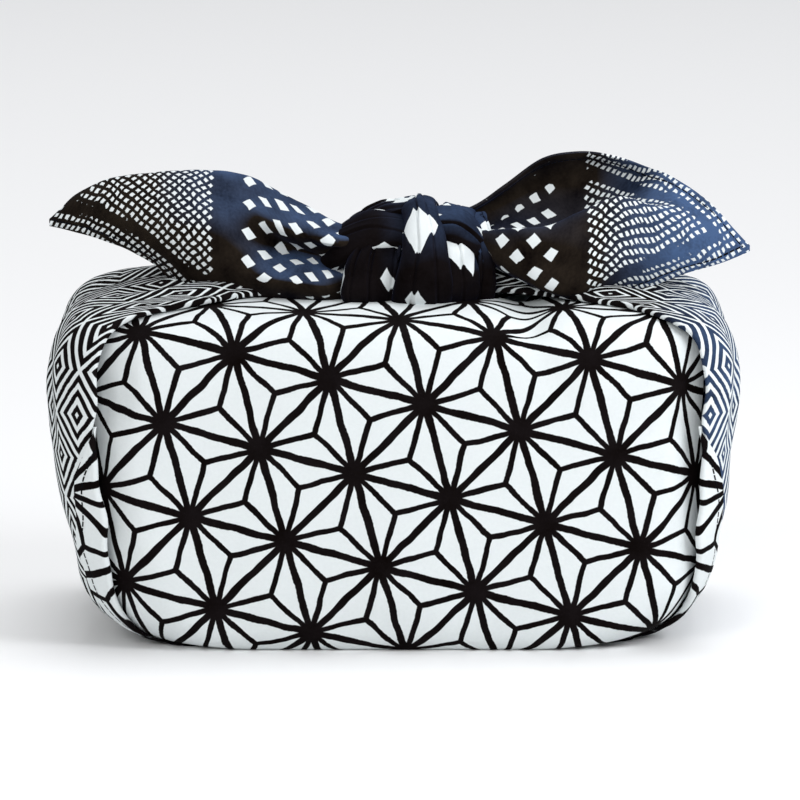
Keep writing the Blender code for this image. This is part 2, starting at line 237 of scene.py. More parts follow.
@dataclass
class Rings:
    """Closed rings round the bundle, one for each height, with the columns of the solid's table.

    up is a ring's height, long and deep are its half sizes and corner is the radius of its corners. layer is
    how proud the end cloths stand and pocket how far the panel turns in under them. gusset is the width of
    the folded corner. rise and ridge are how much the end cloths climb and pleat towards the knot.

    Args:
        table: one row for each ring, in the order of the named columns.
    """

    table: Array

    up = column(0)
    long = column(1)
    deep = column(2)
    corner = column(3)
    layer = column(6)
    pocket = column(7)
    gusset = column(8)
    rise = column(9)
    ridge = column(10)

    def fold(self, side: Side) -> Array:
        """How far round each ring, from its front middle, the end cloth's edge lies."""
        column = 4 if side is Side.LEFT else 5
        reach = self.table[:, column : column + 1]
        straight = self.long - self.corner
        bend = np.arcsin(np.clip((reach - straight) / self.corner, 0, 1))
        wave = 0.7 * np.sin(self.up / 7.0 + column) + 0.45 * np.sin(self.up / 3.1 + 2 * column)
        top = 0.8 * np.sin(reach / 6.0) * (self.up > 112)
        uneven = wave * np.clip(self.up / 25.0, 0, 1) + top
        return np.where(reach > straight, straight + self.corner * bend, reach) + uneven

    def half_round(self) -> Array:
        """The distance along each ring from its front middle to its back middle."""
        return 2 * (self.long - self.corner) + 2 * (self.deep - self.corner) + pi * self.corner

    def place(self, along: Array) -> tuple[Array, Array]:
        """Points and outward normals in plan, at distances along the rings from their front middles.

        Args:
            along: one row of distances for each ring, positive to the right.

        Returns:
            The points and the normals, each with three parts.
        """
        side = np.where(along < 0, -1.0, 1.0)
        walk = np.abs(along)
        front = self.long - self.corner
        end = 2 * (self.deep - self.corner)
        turn = pi / 2 * self.corner
        first = np.clip((walk - front) / self.corner, 0, pi / 2)
        second = np.clip((walk - front - turn - end) / self.corner, 0, pi / 2)
        angle = first + second
        normal_x = np.sin(angle)
        normal_y = -np.cos(angle)
        on_end = np.clip(walk - front - turn, 0, end)
        on_back = np.clip(walk - front - 2 * turn - end, 0, None)
        x = np.minimum(walk, front) + self.corner * normal_x - on_back
        y = -(self.deep - self.corner) + on_end + self.corner * normal_y
        zero = np.zeros_like(x)
        return np.stack([x * side, y, zero], axis=-1), np.stack([normal_x * side, normal_y, zero], axis=-1)

    def lean(self, reach: Array) -> tuple[Array, Array]:
        """How far the surface faces outwards and upwards at each ring, for one of its half sizes."""
        rise = np.gradient(self.up, axis=0)
        run = -np.gradient(reach, axis=0)
        size = np.maximum(np.hypot(rise, run), 1e-6)
        return rise / size, run / size

    def surface(self, along: Array, proud: Array, reach: Array, lowest: float = 0.0) -> Array:
        """Points on the bundle, some way along each ring and some way off its surface."""
        point, normal = self.place(along)
        outwards, upwards = self.lean(reach)
        point = point + normal * (proud * outwards)[..., None]
        point[..., 2] = np.maximum(self.up + proud * upwards, lowest)
        return point


@dataclass
class Bundle:
    """The shape that the cloth is folded round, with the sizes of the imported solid.

    Columns of rings: up, long, deep, corner, fold_left, fold_right, layer, pocket, gusset, rise, ridge.
    Columns of creases: where each starts, along and up, where it stops, its width and its depth.
    The dimple: its place along and up, its width and height, and its depth.
    """

    rings: tuple[tuple[float, ...], ...] = (
        (0, 80, 56, 33, 64, 70, 0.1, 0, 0, 0, 0),
        (1.5, 87, 58.5, 33, 78, 84, 0.4, 0, 0, 0, 0),
        (5, 94.5, 61, 32, 87, 93, 1, 0.3, 3, 0, 0),
        (12, 102, 62.5, 30, 93.5, 100, 1.7, 0.6, 8, 0, 0),
        (24, 108, 63.5, 27, 97, 104, 2.2, 1, 12, 0, 0),
        (42, 112.5, 64, 24, 99.5, 105.5, 2.4, 1.6, 14, 0, 0),
        (62, 115.5, 64, 23, 102, 106, 2.4, 2.4, 9, 0, 0),
        (80, 117, 64, 22, 102.5, 106.5, 2.4, 3.2, 0, 0, 0),
        (95, 117, 63, 22, 102, 107, 2.4, 3, 0, 0, 0.2),
        (106, 114.5, 60, 22, 100, 104, 2.4, 1.8, 0, 0, 0.4),
        (112.5, 110, 55, 21, 94, 98, 2.4, 0.8, 0, 0.2, 0.8),
        (115.8, 102.5, 47, 19, 83, 88, 2.4, 0.3, 0, 0.6, 1.2),
        (117.2, 88, 36, 15, 68, 76, 2.6, 0, 0, 1.8, 2.2),
        (118, 62, 24, 11, 50, 55, 3, 0, 0, 4.5, 3.4),
        (118.4, 32, 13, 6, 24, 26, 3.4, 0, 0, 9, 4),
    )
    height: float = 118.4
    row_step: float = 1.4
    crown: float = 1.6
    tuck_reach: float = 15.0
    panel_slack: tuple[tuple[float, float], ...] = ((0.35, 60.0), (0.12, 21.0))
    end_slack: tuple[tuple[float, float], ...] = ((0.45, 48.0), (0.15, 17.0))
    dimple: tuple[float, float, float, float, float] = (47.0, 115.0, 8.0, 4.5, 4.2)
    flap_point: float = 46.0
    flap_half: float = 38.0
    flap_lift: float = 0.8
    under: float = 7.0
    fold_radius: float = 1.1
    creases: tuple[tuple[float, float, float, float, float, float], ...] = (
        (42, 116, 62, 84, 6, 0.9),
        (51, 116, 74, 90, 5, -0.5),
        (28, 117, 82, 103, 4.5, 0.7),
        (-22, 117, -64, 96, 6, 0.7),
        (-34, 117, -82, 106, 4.5, -0.5),
        (-99, 92, -84, 58, 5.5, 0.9),
        (-98, 44, -80, 12, 6, 0.8),
        (-88, 46, -74, 20, 5, -0.4),
        (104, 98, 90, 60, 5.5, 0.9),
        (103, 44, 82, 10, 6, 0.7),
        (97, 52, 95, 22, 4, 1.4),
        (-92, 104, -90, 78, 4.5, 1.2),
    )
    end_creases: tuple[tuple[float, float, float, float, float, float], ...] = (
        (-36, 116, -52, 56, 6.5, 2),
        (-18, 117, -27, 72, 5, 1.7),
        (-27, 117, -41, 66, 4.5, -1.1),
        (2, 117, -4, 78, 4.5, 1.3),
        (15, 117, 25, 60, 5.5, 1.8),
        (27, 117, 36, 82, 4.5, -1.1),
        (37, 116, 51, 50, 6.5, 2),
        (-50, 46, -18, 6, 6, 1.6),
        (-50, 30, -30, 5, 4, -0.9),
        (48, 40, 22, 5, 6, 1.6),
        (3, 20, -8, 60, 7, 0.8),
    )
    gusset_share: float = 0.86
    gusset_place: tuple[float, float] = (15.0, 24.0)
    pleat_places: tuple[float, ...] = (0.14, 0.36, 0.58, 0.83)
    pleat_width: float = 0.07

    def stations(self, first: float, last: float, column: int) -> Array:
        """Row numbers between two rings, evenly spaced along the profile of one half size."""
        fine = np.linspace(first, last, 600)
        profile = curve_at(np.array(self.rings), fine)[:, [0, column]]
        walked = lengths_along(profile)
        count = int(walked[-1] / self.row_step) + 2
        return np.interp(np.linspace(0, walked[-1], count), walked, fine)

    def rings_at(self, stations: Array) -> Rings:
        """The rings at these row numbers."""
        table = curve_at(np.array(self.rings), stations)
        table[:, 6:] = np.maximum(table[:, 6:], 0)
        return Rings(table)

    def floor_rings(self, count: int) -> Rings:
        """Nested rings on the flat underside, from near its middle out to its rim."""
        rim = np.array(self.rings[0])
        table = np.repeat(rim[None], count, axis=0)
        table[:, 1:6] *= np.linspace(0.04, 1, count, endpoint=False)[:, None]
        return Rings(table)

    def top_height(self, y: Array) -> Array:
        """The height of the bundle's top at a distance from its middle line."""
        rows = np.array(self.rings)[::-1]
        return np.interp(np.abs(y), rows[:, 2], rows[:, 0])

    def panel_relief(self, rings: Rings, along: Array, seed: int) -> Array:
        """How far a panel swells or sinks: its crown, its turned-in sides and its small unevenness."""
        left = rings.fold(Side.LEFT)
        right = rings.fold(Side.RIGHT)
        share = np.clip((along + left) / (left + right), 0, 1)
        crown = self.crown * 4 * share * (1 - share) * np.sin(pi * np.clip(rings.up / self.height, 0, 1))
        inside = np.minimum(along + left, right - along)
        tuck = rings.pocket * (1 + np.cos(pi * np.clip(inside / self.tuck_reach, 0, 1)))
        spread = np.stack([along, np.broadcast_to(rings.up, along.shape), np.zeros_like(along)], axis=-1)
        slack = swell(spread, self.panel_slack, seed) * np.clip(rings.up / 8.0, 0, 1)
        return crown - tuck + slack - self.trough(self.creases, along, rings.up)

    def trough(self, creases: tuple[tuple[float, ...], ...], along: Array, up: Array) -> Array:
        """How far the cloth sinks in its soft creases.

        Args:
            creases: for each, where it starts, along and up, where it stops, its width and its depth.
            along: distance from the middle of the panel or the end.
            up: height.

        Returns:
            The depth at each point.
        """
        total = np.zeros(along.shape)
        for start_x, start_up, stop_x, stop_up, wide, deep in creases:
            run_x, run_up = stop_x - start_x, stop_up - start_up
            share = ((along - start_x) * run_x + (up - start_up) * run_up) / (run_x**2 + run_up**2)
            share = np.clip(share, 0, 1)
            far = np.hypot(along - start_x - share * run_x, up - start_up - share * run_up)
            total += deep * np.exp(-((far / wide) ** 2)) * np.sin(pi * (0.12 + 0.88 * share))
        return total

    def dent(self, rings: Rings, along: Array) -> Array:
        """The small dimple in the panel's top edge beside the knot."""
        x, up, wide, tall, depth = self.dimple
        return depth * np.exp(-(((along - x) / wide) ** 2) - ((rings.up - up) / tall) ** 2)

    def panel(self, name: str, front: bool) -> Sheet:
        """The front or back of the wrap: half the underside, the panel and its flap over the top.

        Args:
            name: the piece's name.
            front: whether it is the front, whose flap lies over the back's.

        Returns:
            The sheet.
        """
        across = clustered(150, 0.78)
        floor = self.floor_rings(24)
        wall = self.rings_at(self.stations(0, len(self.rings) - 1, 2))
        rings = Rings(np.concatenate([floor.table, wall.table]))
        left = rings.fold(Side.LEFT)
        right = rings.fold(Side.RIGHT)
        near_end = rings.half_round() / 2
        climb = np.clip(rings.up / 10.0, 0, 1)
        reach_left = near_end + (left + self.under - near_end) * climb
        reach_right = near_end + (right + self.under - near_end) * climb
        along = -reach_left + across[None] * (reach_left + reach_right)
        relief = self.panel_relief(rings, along, 3 if front else 11)
        if front:
            relief = relief - self.dent(rings, along)
        grid = rings.surface(along, relief * climb, rings.deep)
        profile = np.concatenate([rings.deep, rings.up], axis=1)
        walked = floor.deep[0] + lengths_along(profile)
        cloth = np.stack([along, np.broadcast_to(walked[:, None], along.shape)], axis=-1)
        top, top_cloth, top_hem = self.flap(front, grid[-1], walked[-1], across)
        grid = np.concatenate([grid, top])
        cloth = np.concatenate([cloth, top_cloth])
        hem = np.concatenate([np.full(along.shape, NO_HEM), top_hem])
        if not front:
            grid = grid * np.array([-1.0, -1.0, 1.0])
            cloth = cloth * np.array([1.0, -1.0])
        return Sheet(name, grid, cloth, (0.228, 0.232), "folded", hem)

    def flap(self, front: bool, edge: Array, walked: float, across: Array) -> tuple[Array, Array, Array]:
        """The part of a panel that lies on the bundle's top, past its last ring.

        Args:
            front: whether it is the front flap, which ends in the cloth's hemmed corner.
            edge: the last ring's points.
            walked: how far the last ring lies from the underside's middle.
            across: the shares of the columns.

        Returns:
            The points, their places on the flat cloth and their distances from the hem.
        """
        start = float(edge[len(edge) // 2, 1])
        stop = self.flap_point - 0.6 if front else 6.0
        y = np.linspace(start, stop, 44 if front else 16)[1:, None]
        grown = np.clip((y - start) / 14.0, 0, 1)
        if front:
            half = np.minimum(self.flap_half, self.flap_point - y)
        else:
            half = np.full_like(y, 30.0)
        first = np.abs(edge[[0, -1], 0])
        low = -(first[0] + (half - first[0]) * grown)
        high = first[1] + (half - first[1]) * grown
        x = low + across[None] * (high - low)
        lift = self.flap_lift * np.clip((y + 14.0) / 10.0, 0, 1) if front else np.full_like(y, -0.3)
        flat_y = np.broadcast_to(y, x.shape)
        grid = np.stack([x, flat_y, self.top_height(flat_y) + lift], axis=-1)
        grid[..., 2] += 0.15 * ripple(grid, 26.0, 5) * grown
        cloth = np.stack([x, np.broadcast_to(walked + (y - start), x.shape)], axis=-1)
        if not front:
            return grid, cloth, np.full(x.shape, NO_HEM)
        hem = (self.flap_point - flat_y - np.abs(x)) / sqrt(2)
        return grid, cloth, np.clip(hem, 0, NO_HEM)

    def folded_edge(self, inwards: Array, layer: Array, widest: float) -> tuple[Array, Array]:
        """The rolled edge of a layer of cloth.

        Args:
            inwards: walk from the edge, negative where the cloth has turned under.
            layer: how proud the layer stands.
            widest: the largest radius of the roll.

        Returns:
            The distance from the fold's line, and how far off the bundle the cloth lies.
        """
        radius = np.minimum(widest, 0.46 * layer)
        distance = np.abs(inwards)
        bulge = np.sqrt(np.maximum(radius**2 - np.maximum(radius - distance, 0) ** 2, 0))
        return distance, layer - radius + np.where(inwards < 0, -bulge, bulge)

    def end_cloth(self, name: str, side: Side) -> Sheet:
        """One end of the wrap: it covers the end and climbs over the shoulder into the knot.

        Args:
            name: the piece's name.
            side: which end.

        Returns:
            The sheet.
        """
        stations = self.stations(0, len(self.rings) - 1, 1)
        rings = self.rings_at(stations)
        last = rings.table[-1].copy()
        inner = np.repeat(last[None], 14, axis=0)
        shrink = np.linspace(1, 0.35, 15)[1:, None]
        inner[:, 1:6] *= shrink
        inner[:, 0] += (1 - shrink[:, 0]) * 1.5
        rings = Rings(np.concatenate([rings.table, inner]))
        front = rings.fold(side)
        back = rings.half_round() - rings.fold(side)
        wide = back - front
        share = clustered(140, 0.7)[None]
        under = np.array([-6.0, -4.0, -2.4, -1.4, -0.9, -0.5, -0.25, -0.1])
        walk = np.concatenate([
            np.broadcast_to(under, (len(front), len(under))),
            share * wide,
            wide - under[::-1],
        ], axis=1)
        from_edge = np.minimum(walk, wide - walk)
        distance, lift = self.folded_edge(from_edge, rings.layer + 0.0 * walk, self.fold_radius)
        along = np.where(walk < wide / 2, front + distance, back - distance)
        across = np.clip(walk / wide, 0, 1)
        arch = np.sin(pi * across)
        pleats = sum(np.exp(-(((across - place) / self.pleat_width) ** 2)) for place in self.pleat_places)
        closeness = rings.ridge / 4.0
        fine = np.cos(2 * pi * (8.5 * across + 0.35 * np.sin(5 * across)))
        drape = np.stack([0 * walk, along, rings.up + 0 * walk], axis=-1)
        seed = 21 if side is Side.LEFT else 31
        slack = swell(drape, self.end_slack, seed) - self.trough(self.end_creases, walk - wide / 2, rings.up)
        slack *= np.clip(rings.up / 14.0, 0, 1) * np.clip(from_edge / 9.0, 0, 1)
        proud = lift + slack + (rings.ridge * pleats + 0.9 * closeness * fine) * arch
        grid = rings.surface(along, proud, rings.long, 2 * COTTON)
        grid[..., 2] += rings.rise * arch
        grid[..., 0] *= side.value
        profile = np.concatenate([rings.long, rings.up], axis=1)
        walked = float(self.rings[0][1]) + lengths_along(profile)
        full = 0.45 * np.maximum.accumulate(wide, axis=0) + 0.55 * wide
        cloth = np.stack([walked[:, None] + 0 * walk, (walk / wide - 0.5) * full], axis=-1)
        if side is Side.LEFT:
            grid = grid[:, ::-1]
            cloth = cloth[:, ::-1]
        return Sheet(name, grid, cloth, (0.14, 0.22), "gathered")

    def gusset_flap(self, name: str, side: Side, front: bool) -> Sheet:
        """The folded corner of a panel that lies on an end cloth, with the cloth's hem at its edge.

        Args:
            name: the piece's name.
            side: which end.
            front: whether it is at the front.

        Returns:
            The sheet.
        """
        rings = self.rings_at(np.linspace(0.3, 7.0, 76))
        under = np.array([-7.0, -5.0, -3.0, -1.8, -1.0, -0.5, -0.2])
        share = clustered(26, 0.5)[None]
        foot = 3.4 * np.clip((34.0 - rings.up) / 20.0, 0.1, 1)
        wide = np.maximum(self.gusset_share * rings.gusset, foot)
        walk = np.concatenate([np.broadcast_to(under, (len(wide), len(under))), share * wide], axis=1)
        grown = np.clip(wide / 4.0, 0, 1)
        layer = rings.layer + 0.9 * grown
        distance, lift = self.folded_edge(walk, layer + 0.0 * walk, 2.0)
        along = rings.fold(side) - 1.3 * np.clip(layer / 2, 0, 1) + distance
        spread = np.stack([along, rings.up + 0 * walk, 0 * walk], axis=-1)
        lift = lift + 0.12 * ripple(spread, 15.0, 41 if front else 43) * grown
        grid = rings.surface(along, lift, rings.long, 2 * COTTON)
        grid[..., 0] *= side.value
        cloth = np.stack([walk + self.gusset_place[0], rings.up + self.gusset_place[1] + 0 * walk], axis=-1)
        hem = np.clip(wide - walk, 0, NO_HEM)
        if not front:
            grid[..., 1] *= -1
            cloth[..., 1] *= -1
        if (side is Side.LEFT) == front:
            grid, cloth, hem = grid[:, ::-1], cloth[:, ::-1], hem[:, ::-1]
        return Sheet(name, grid, cloth, (0.017, 0.085), "folded", hem)

    def build(self) -> list[tuple[bpy.types.Object, Print]]:
        """Makes the bundle's sheets, each with the print that it carries."""
        made = [(self.panel("front_cloth", True).build(), Print.FIELD)]
        made.append((self.panel("back_cloth", False).build(), Print.FIELD))
        for side in Side:
            word = side.name.lower()
            made.append((self.end_cloth(f"{word}_end_cloth", side).build(), Print.BORDER))
            for front in (True, False):
                where = "front" if front else "back"
                flap = self.gusset_flap(f"{word}_{where}_gusset", side, front)
                made.append((flap.build(), Print.FIELD))
        return made


@dataclass(frozen=True)
class Strap:
    """One flattened roll of gathered cloth in the knot.

    Columns of rows: the middle line's x, y and z, the half width's x, y and z, and the half thickness.

    Args:
        name: the piece's name.
        flat: its width and length when flat, in metres.
        folds: how many folds run along it.
        depth: how deep they are.
        seed: picks where they lie.
        spot: where a large diamond lies: its share across the outer side and its millimetres along.
        rows: its table.
        step: how far apart its rings of points are.
    """

    name: str
    flat: tuple[float, float]
    folds: int
    depth: float
    seed: int
    spot: tuple[float, float]
    rows: tuple[tuple[float, ...], ...]
    step: float = 1.0

    def pleats(self, across: Array, run: Array) -> tuple[Array, Array]:
        """The folds that run along the strap, each lapped over the next.

        Args:
            across: place over the strap's width, from -1 to 1.
            run: place along the strap, from 0 to 1.

        Returns:
            How far the cloth stands up or sinks, and how much cloth is hidden in the laps so far.
        """
        draw = np.random.default_rng(self.seed)
        lift = np.zeros(np.broadcast_shapes(across.shape, run.shape))
        hidden = np.zeros(lift.shape)
        for number in range(self.folds):
            place = -0.9 + 1.8 * (number + draw.uniform(0.25, 0.75)) / self.folds
            drift = draw.uniform(0.08, 0.24) * np.sin(pi * run * draw.uniform(0.7, 1.5) + draw.uniform(0, 6))
            way = 1 if draw.random() < 0.65 else -1
            off = way * (across - place - drift)
            deep = self.depth * draw.uniform(0.6, 1.2)
            deep = deep * (0.65 + 0.35 * np.sin(pi * run * draw.uniform(0.8, 1.6) + draw.uniform(0, 3)))
            step = 1 / (1 + np.exp(-off / 0.022))
            lift += deep * (step * np.exp(-np.maximum(off, 0) / 0.3) - 0.9 * np.exp(-((off / 0.055) ** 2)))
            hidden += way * draw.uniform(1.0, 2.4) * step
        return lift - 0.4 * self.depth, hidden

    def sheet(self) -> Sheet:
        """The roll as a closed sheet round its middle line."""
        rows = np.array(self.rows, float)
        walked = lengths_along(curve_at(rows, np.linspace(0, len(rows) - 1, 300))[:, 0:3])
        table = curve_at(rows, np.linspace(0, len(rows) - 1, int(walked[-1] / self.step) + 2))
        middle = table[:, None, 0:3]
        width = table[:, None, 3:6]
        ahead = np.gradient(table[:, 0:3], axis=0)[:, None]
        ahead /= np.linalg.norm(ahead, axis=-1, keepdims=True)
        width = width - ahead * (width * ahead).sum(axis=-1, keepdims=True)
        outwards = np.cross(ahead, width)
        outwards /= np.linalg.norm(outwards, axis=-1, keepdims=True)
        if (outwards * (middle - KNOT_MIDDLE)).sum() < 0:
            width, outwards = -width, -outwards
        outer = np.linspace(0, pi, 96, endpoint=False)
        inner = np.linspace(pi, 2 * pi, 28, endpoint=False)
        around = np.concatenate([outer, inner])[None]
        run = np.linspace(0, 1, len(table))[:, None]
        across = np.cos(around)
        upper = np.clip(np.sin(around) * 4, 0, 1)
        lift = np.sign(np.sin(around)) * np.abs(np.sin(around)) ** 0.7 * table[:, 6:7]
        pleat, hidden = self.pleats(across, run)
        lift = lift + pleat * upper
        ring = middle + width * across[..., None] + outwards * lift[..., None]
        ring += normals_of(ring) * (0.35 * ripple(ring, 11.0, self.seed + 50))[..., None]
        turned = np.concatenate([around, [[2 * pi]]], axis=1)
        hidden = np.concatenate([hidden * upper, (hidden * upper)[:, :1]], axis=1)
        length = lengths_along(table[:, 0:3])[:, None]
        girth = 0.85 * float(np.linalg.norm(rows[:, 3:6], axis=1).mean())
        over = girth * (turned - pi * self.spot[0]) + hidden
        cloth = np.stack([over, length - self.spot[1] + 0 * turned], axis=-1)
        return Sheet(self.name, ring, cloth, self.flat, "gathered", ring=True)


@dataclass
class Knot:
    """The square knot: gathered straps that cross over a core.

    Args:
        centre: the core's middle.
        radii: the core's half sizes.
        straps: the rolls of cloth round it.
    """

    centre: tuple[float, float, float] = KNOT_MIDDLE
    radii: tuple[float, float, float] = (24.0, 21.0, 20.0)
    straps: tuple[Strap, ...] = (
        Strap("knot_front_strap", (0.048, 0.115), 2, 1.2, 1, (0.45, 36.0), (
            (9.5, -18, 113, 9.6, 0, 0, 4.4),
            (10, -26, 118.6, 10.4, 0, 0, 4.8),
            (10.5, -30, 127, 9.8, 0, 0, 5),
            (11, -28, 137, 8, 0, 0.5, 4.8),
            (10, -20, 145.5, 6.5, 0, 0.8, 4.2),
            (9, -9, 148.5, 6, 0, 0.8, 3.6),
            (8.5, 4, 148, 6.5, 0, 0, 3.6),
            (8.5, 17, 142, 9, 0, 0, 4.2),
            (9, 26, 129, 12, 0, 0, 4.8),
            (8.5, 24, 119.5, 12, 0, 0, 4.6),
            (8, 17.5, 113, 11, 0, 0, 4.4),
        )),
        Strap("knot_right_roll", (0.042, 0.058), 2, 0.9, 2, (0.48, 50.0), (
            (5, -15, 140, 0, -6, -4.5, 3.6),
            (14, -17.5, 143.5, 0.5, -7.5, -4.6, 4.2),
            (22, -17, 143, 0, -8, -4.4, 4.4),
            (28, -14, 138, -1, -8, -3.5, 4.2),
            (31, -9, 129, -1, -8.5, -1, 3.8),
            (31, -6, 119, -1, -9, 0, 3.6),
            (27, -4, 112, -1, -8.5, 0, 3.4),
        )),
        Strap("knot_right_front", (0.044, 0.035), 2, 1.2, 3, (0.5, 8.0), (
            (18, -18, 141, 7, 2.5, 0, 3.8),
            (20.5, -23.5, 133, 8, 3, 0, 4.4),
            (22, -24.5, 123, 8.5, 3.5, 0, 4.6),
            (20.5, -16, 113.5, 7.4, 3, 0, 4.2),
        )),
        Strap("knot_left_lobe", (0.044, 0.038), 2, 1.0, 4, (1.0, 27.0), (
            (-25, -8, 129, 0, -6, -5, 3.6),
            (-17, -12, 136, 0, -7, -5.5, 4.2),
            (-9, -13.5, 140.5, 0, -7.5, -5.5, 4.6),
            (0, -14, 141, 0, -7.5, -5.5, 4.4),
            (8, -15, 139, 0, -6.5, -5, 4),
        )),
        Strap("knot_left_front", (0.049, 0.034), 3, 1.4, 6, (1.0, 16.0), (
            (-4, -15, 138, 9, -1, 1.5, 4),
            (-7, -21.5, 130, 9.8, -1, 1.5, 4.8),
            (-8, -24, 121, 10.3, 0, 1, 4.8),
            (-5.5, -16.5, 113, 8.8, 0, 0, 4.2),
        )),
        Strap("knot_top_gathers", (0.044, 0.027), 5, 1.8, 7, (0.6, 20.0), (
            (-13, 0, 138.5, 1.5, -9, 1.5, 3.4),
            (-6, -1.5, 144.5, 2.5, -9, 1, 3.6),
            (2, -3, 147.5, 3, -9, 0.5, 3.8),
            (10, -3.5, 147, 2.5, -9, 0.5, 3.6),
        )),
        Strap("knot_right_loop", (0.02, 0.088), 2, 0.7, 8, (0.9, 30.0), (
            (29.5, -14.5, 113, 3.2, 1, 0, 2.2),
            (32, -20.5, 122, 3.4, 1, 0, 2.4),
            (32, -19, 133, 3.4, 1, 0, 2.4),
            (31, -12, 141, 3.2, 0.5, 0.5, 2.4),
            (30, -2, 143.5, 3.2, 0, 0.5, 2.4),
            (29.5, 8, 141, 3.4, 0, 0, 2.4),
            (29.5, 16, 132, 3.6, -0.5, 0, 2.4),
            (29, 19, 121, 3.6, -0.5, 0, 2.4),
            (27.5, 13, 113, 3.4, -0.5, 0, 2.2),
        )),
        Strap("knot_left_back", (0.05, 0.046), 3, 1.3, 9, (0.5, 22.0), (
            (-6, 2, 143, 9, 1, 1, 4),
            (-7, 15, 140, 9.5, 1, 1, 4.6),
            (-8, 22.5, 129, 10.5, 1, 0, 4.8),
            (-6, 15.5, 113, 9.2, 1, 0, 4.4),
        )),
        Strap("knot_right_back", (0.043, 0.048), 2, 1.2, 10, (0.4, 30.0), (
            (20.5, -9, 141.5, 8, -1, 0, 3.8),
            (21, 0, 144, 8, -1, 0, 4),
            (22, 10, 142, 8, -1.5, 0, 4.2),
            (22, 19.5, 130, 8.5, -2, 0, 4.6),
            (20, 13, 113, 7.6, -2, 0, 4.4),
        )),
    )

    def core(self) -> Sheet:
        """The gathered cloth in the middle, which the straps cross over."""
        steep = np.linspace(0.02, pi - 0.02, 50)[:, None]
        around = np.linspace(0, 2 * pi, 90, endpoint=False)[None]
        ball = np.stack([
            np.cos(steep) + 0 * around,
            -np.sin(steep) * np.cos(around),
            np.sin(steep) * np.sin(around),
        ], axis=-1)
        fluted = 1 + 0.03 * np.cos(11 * around + 2 * np.cos(steep))
        grid = ball * fluted[..., None] * np.array(self.radii) * 0.95 + np.array(self.centre)
        turned = np.concatenate([around, [[2 * pi]]], axis=1)
        cloth = np.stack([turned * 20.0 + 0 * steep, steep * 22.0 + 0 * turned], axis=-1)
        return Sheet("knot_core", grid, cloth, (0.07, 0.08), "gathered", ring=True)

    def build(self) -> list[tuple[bpy.types.Object, Print]]:
        """Makes the knot's core and straps."""
        sheets = [self.core()] + [strap.sheet() for strap in self.straps]
        return [(sheet.build(), Print.KNOT) for sheet in sheets]


@dataclass
class Ear:
    """One free corner of the cloth, a sheet through its cuts.

    Args:
        name: the piece's name.
        side: which end it points to.
        cuts: for each section, how far out it is and then its (y, z) points from edge to edge.
        flat: the width and length of this corner when flat, in metres.
        seed: picks its unevenness.
    """

    name: str
    side: Side
    cuts: tuple[tuple, ...]
    flat: tuple[float, float]
    seed: int
    rows: int = 110
    columns: int = 130
    root: float = 20.0
    slack: tuple[tuple[float, float], ...] = ((0.7, 34.0), (0.18, 13.0))

    def spine(self) -> Array:
        """The sections as rows of points, spaced evenly from the knot to the tip."""
        table = np.array([[(cut[0], y, z) for y, z in cut[1:]] for cut in self.cuts])
        fine = curve_at(table, np.linspace(0, len(table) - 1, 500))
        out = fine[:, 0, 0]
        wanted = np.linspace(out[0], out[-1], self.rows)
        rows = np.interp(wanted, out, np.linspace(0, len(table) - 1, 500))
        return curve_at(table, rows)

    def grid(self) -> Array:
        """The sections made fine from edge to edge, with more points near the hems."""
        across = clustered(self.columns, 0.6)
        made = []
        for section in self.spine():
            fine = curve_at(section, np.linspace(0, len(section) - 1, 400))
            walked = lengths_along(fine)
            at = np.interp(across * walked[-1], walked, np.linspace(0, len(section) - 1, 400))
            made.append(curve_at(section, at))
        return np.array(made)

    def sheet(self) -> Sheet:
        """The ear with its pleats at the knot, its slack and its place on the flat cloth."""
        grid = self.grid()
        walked = lengths_along(grid)
        whole = walked[:, -1:]
        share = walked / whole
        out = grid[..., 0]
        near = np.exp(-np.clip(out - self.root, 0, None) / 17.0)
        pleat = np.cos(2 * pi * (6.5 * share + 0.25 * np.sin(out / 9.0)))
        slack = swell(grid, self.slack, self.seed)
        free = np.clip((out - self.root) / 25.0, 0, 1)
        grid = grid + normals_of(grid) * (0.8 * near * pleat + slack * free)[..., None]
        from_tip = out.max() - out + 1.0
        cloth = np.stack([walked - whole / 2, from_tip], axis=-1)
        hem = np.minimum(walked, whole - walked)
        grid[..., 0] *= self.side.value
        if self.side is Side.RIGHT:
            grid, cloth, hem = grid[:, ::-1], cloth[:, ::-1], hem[:, ::-1]
        return Sheet(self.name, grid, cloth, self.flat, "gathered", hem, outside=0.0)

    def build(self) -> list[tuple[bpy.types.Object, Print]]:
        """Makes the ear."""
        return [(self.sheet().build(), Print.CORNER)]


